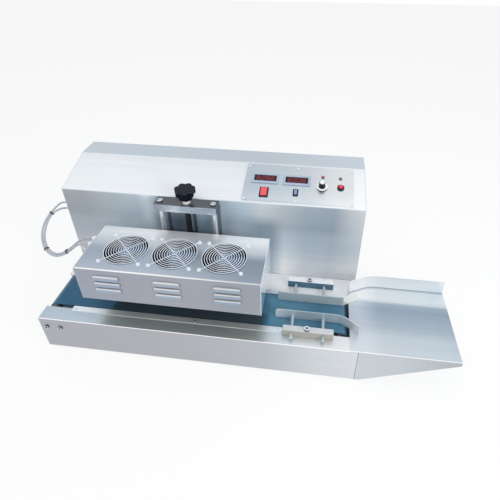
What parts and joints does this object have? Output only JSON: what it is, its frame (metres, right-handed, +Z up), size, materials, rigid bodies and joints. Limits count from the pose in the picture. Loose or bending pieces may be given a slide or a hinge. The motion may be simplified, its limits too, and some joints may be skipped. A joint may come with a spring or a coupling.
{
  "type": "induction cap sealer",
  "caption": "Tabletop induction cap sealer: a lifting coil head with cooling fans over a belt conveyor, a sloped control cabinet behind and an infeed tray beside it",
  "frame": {"origin": "middle of the machine's footprint, cables left out, on the surface it stands on", "axes": "+X along the belt to the infeed tray, +Y to the rear cabinet, +Z up"},
  "size_m": [1.199, 0.4836, 0.4231],
  "materials": {
    "stainless": "fine brushed stainless sheet",
    "panel_steel": "brushed panel plate",
    "belt_blue": "smooth teal-blue belt cover",
    "black_rubber": "matt black rubber",
    "machined_aluminium": "machined and polished",
    "column_plate_steel": "polished plate",
    "bright_steel": "polished bright steel",
    "black_steel": "oiled black oxide",
    "bronze": "turned bronze",
    "copper": "copper tube",
    "black_plastic": "moulded black plastic",
    "pale_plastic": "pale blue-grey moulding",
    "red_plastic": "glossy red plastic",
    "display_window": "dark red filter window",
    "white_nylon": "white nylon",
    "cable_sheath": "smooth light grey sheath",
    "tie_black": "black nylon"
  },
  "bodies": {
    "base": {"base_plate": "stainless", "front_channel": "stainless", "rear_deck": "stainless", "side_panels": "stainless", "rubber_feet": "black_rubber", "belt_bed": "stainless", "conveyor_belt": "belt_blue", "idler_shaft": "bright_steel", "shaft_bearings": "machined_aluminium", "belt_guide_strips": "stainless", "timing_belt": "black_rubber", "gear_motor": "black_steel", "motor_bracket": "stainless", "infeed_tray": "stainless", "cabinet_shell": "stainless", "rear_cover": "stainless", "mains_inlet": "black_plastic", "power_module": "machined_aluminium", "cabinet_glands": "white_nylon", "control_panel": "panel_steel", "meter_bezels": "pale_plastic", "meter_windows": "display_window", "panel_bezels": "black_plastic", "indicator_lamps": "red_plastic", "speed_dial": "panel_steel", "column_plates": "column_plate_steel", "guide_columns": "bright_steel", "guide_blocks": "machined_aluminium", "frame_screws": "bright_steel", "cable_outer": "cable_sheath", "cable_inner": "cable_sheath", "cable_ties": "tie_black"},
    "belt_drive_roller": {"drive_roller": "machined_aluminium", "roller_pulley": "machined_aluminium"},
    "belt_idler_roller": {"idler_roller": "machined_aluminium"},
    "motor_output": {"motor_pulley": "machined_aluminium"},
    "sealing_head": {"lift_carriage": "machined_aluminium", "bronze_bushes": "bronze", "head_shell": "stainless", "head_end_caps": "stainless", "coil_plate": "machined_aluminium", "induction_coil": "copper", "fan_frames": "black_plastic", "fan_guards": "bright_steel", "fan_screws": "bright_steel", "head_glands": "white_nylon"},
    "lift_screw": {"lead_screw": "black_steel", "star_knob": "black_plastic", "knob_nut": "bright_steel"},
    "left_fan": {"fan_rotor_left": "black_plastic"},
    "middle_fan": {"fan_rotor_middle": "black_plastic"},
    "right_fan": {"fan_rotor_right": "black_plastic"},
    "front_rail": {"front_guide": "stainless"},
    "rear_rail": {"rear_guide": "stainless"},
    "front_clamp": {"front_clamp_screw": "bright_steel"},
    "rear_clamp": {"rear_clamp_screw": "bright_steel"},
    "power_switch": {"power_rocker": "red_plastic"},
    "mode_switch": {"mode_rocker": "black_plastic"},
    "speed_control": {"speed_knob": "black_plastic"},
    "seal_button": {"push_button": "red_plastic"}
  },
  "joints": [
    {"name": "belt_drive", "type": "hinge", "parent": "base", "child": "belt_drive_roller", "pos_m": [-0.521, -0.1258, 0.101], "axis": [0, 1, 0], "continuous": true},
    {"name": "idler_spin", "type": "hinge", "parent": "base", "child": "belt_idler_roller", "pos_m": [0.273, -0.1258, 0.101], "axis": [0, 1, 0], "continuous": true},
    {"name": "motor_spin", "type": "hinge", "parent": "base", "child": "motor_output", "pos_m": [-0.392, -0.0218, 0.06], "axis": [0, 1, 0], "continuous": true},
    {"name": "head_lift", "type": "slide", "parent": "base", "child": "sealing_head", "axis": [0, 0, 1], "range_m": [-0.065, 0.085]},
    {"name": "lift_screw_turn", "type": "hinge", "parent": "base", "child": "lift_screw", "pos_m": [-0.1668, -0.0043, 0.252], "axis": [0, 0, 1], "range_deg": [-5855, 7655]},
    {"name": "left_fan_spin", "type": "hinge", "parent": "sealing_head", "child": "left_fan", "pos_m": [-0.2979, -0.1336, 0.287], "axis": [0, 0, 1], "continuous": true},
    {"name": "middle_fan_spin", "type": "hinge", "parent": "sealing_head", "child": "middle_fan", "pos_m": [-0.1673, -0.1336, 0.287], "axis": [0, 0, 1], "continuous": true},
    {"name": "right_fan_spin", "type": "hinge", "parent": "sealing_head", "child": "right_fan", "pos_m": [-0.0368, -0.1336, 0.287], "axis": [0, 0, 1], "continuous": true},
    {"name": "front_rail_slide", "type": "slide", "parent": "base", "child": "front_rail", "axis": [0, 1, 0], "range_m": [-0.035, 0.014]},
    {"name": "rear_rail_slide", "type": "slide", "parent": "base", "child": "rear_rail", "axis": [0, 1, 0], "range_m": [-0.01, 0.018]},
    {"name": "front_clamp_turn", "type": "hinge", "parent": "base", "child": "front_clamp", "pos_m": [0.184, -0.2008, 0.142], "axis": [0, 0, 1], "range_deg": [0, 180]},
    {"name": "rear_clamp_turn", "type": "hinge", "parent": "base", "child": "rear_clamp", "pos_m": [0.184, -0.0233, 0.142], "axis": [0, 0, 1], "range_deg": [0, 180]},
    {"name": "power_rock", "type": "hinge", "parent": "base", "child": "power_switch", "pos_m": [0.0392, 0.05256, 0.39242], "axis": [1, 0, 0], "range_deg": [-16, 0]},
    {"name": "mode_rock", "type": "hinge", "parent": "base", "child": "mode_switch", "pos_m": [0.127, 0.05754, 0.39393], "axis": [1, 0, 0], "range_deg": [-16, 0]},
    {"name": "speed_turn", "type": "hinge", "parent": "base", "child": "speed_control", "pos_m": [0.1985, 0.0828, 0.40367], "axis": [0, -0.2899, 0.9571], "range_deg": [-150, 150]},
    {"name": "seal_press", "type": "slide", "parent": "base", "child": "seal_button", "axis": [0, -0.2899, 0.9571], "range_m": [-0.002, 0], "stiffness_N_per_m": 400, "springref_m": 0.001}
  ],
  "couplings": [
    {"joint": "idler_spin", "follows": "belt_drive", "ratio": 1},
    {"joint": "motor_spin", "follows": "belt_drive", "ratio": 1.5},
    {"joint": "lift_screw_turn", "follows": "head_lift", "rad_per_m": 1570.8}
  ]
}
